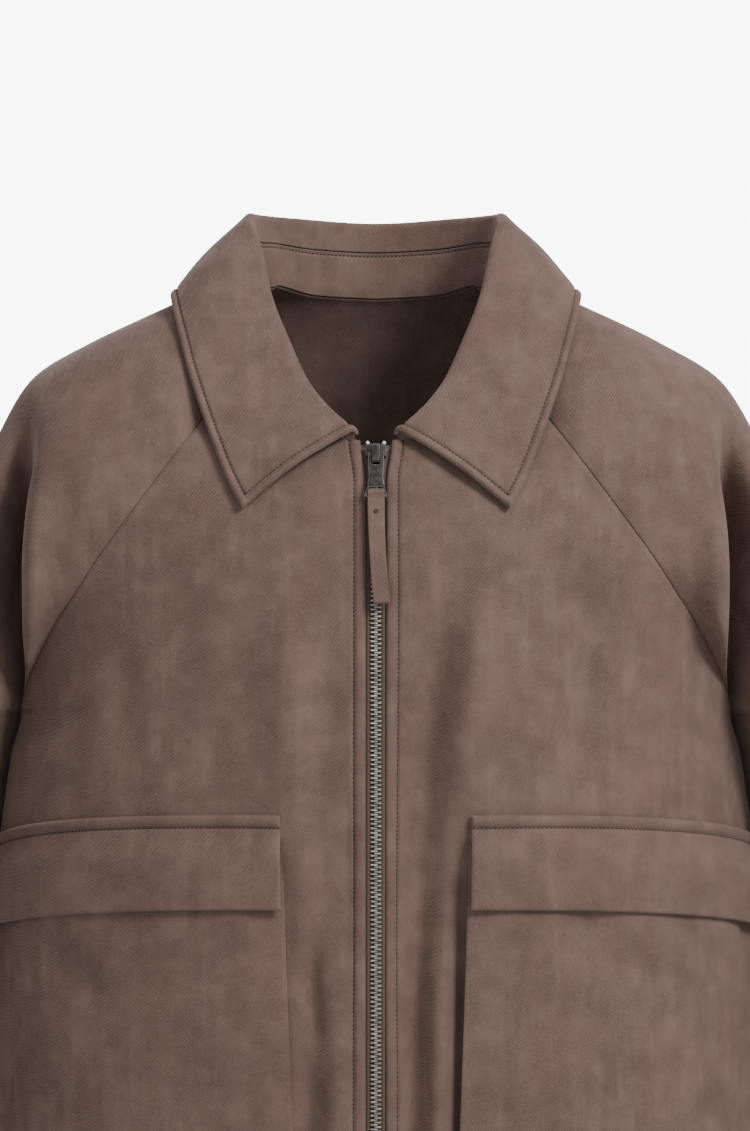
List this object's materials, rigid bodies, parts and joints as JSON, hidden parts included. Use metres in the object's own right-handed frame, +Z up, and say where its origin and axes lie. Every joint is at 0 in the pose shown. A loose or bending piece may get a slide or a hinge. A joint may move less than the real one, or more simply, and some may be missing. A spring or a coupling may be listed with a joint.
{
  "type": "zipped suede jacket",
  "caption": "Zip-front suede jacket with raglan sleeves, a folded collar and flapped patch pockets, filled out as worn.",
  "frame": {"origin": "inside the neck, level with the shoulder points, where the wearer's neck and shoulders carry the jacket", "axes": "+X to the right seen from the front, +Y to the back, +Z up"},
  "size_m": [0.794, 0.2846, 0.7452],
  "materials": {
    "suede": "napped",
    "tape": "woven",
    "teeth": "satin",
    "hardware": "satin"
  },
  "bodies": {
    "jacket": {"front_left": "suede", "front_right": "suede", "back": "suede", "sleeve_left": "suede", "sleeve_right": "suede", "collar_leaf": "suede", "collar_stand": "suede", "pocket_left": "suede", "pocket_right": "suede", "flap_left": "suede", "flap_right": "suede", "zip_tape_left": "tape", "zip_tape_right": "tape", "zip_chain": "teeth", "zip_slider": "hardware", "zip_stop_left": "teeth", "zip_stop_right": "teeth"},
    "pull": {"zip_pull": "hardware", "pull_strip": "suede"}
  },
  "joints": [
    {"name": "pull_swing", "type": "hinge", "parent": "jacket", "child": "pull", "pos_m": [0, -0.10903, -0.09452], "axis": [-1, 0, 0], "range_deg": [0, 150]}
  ]
}
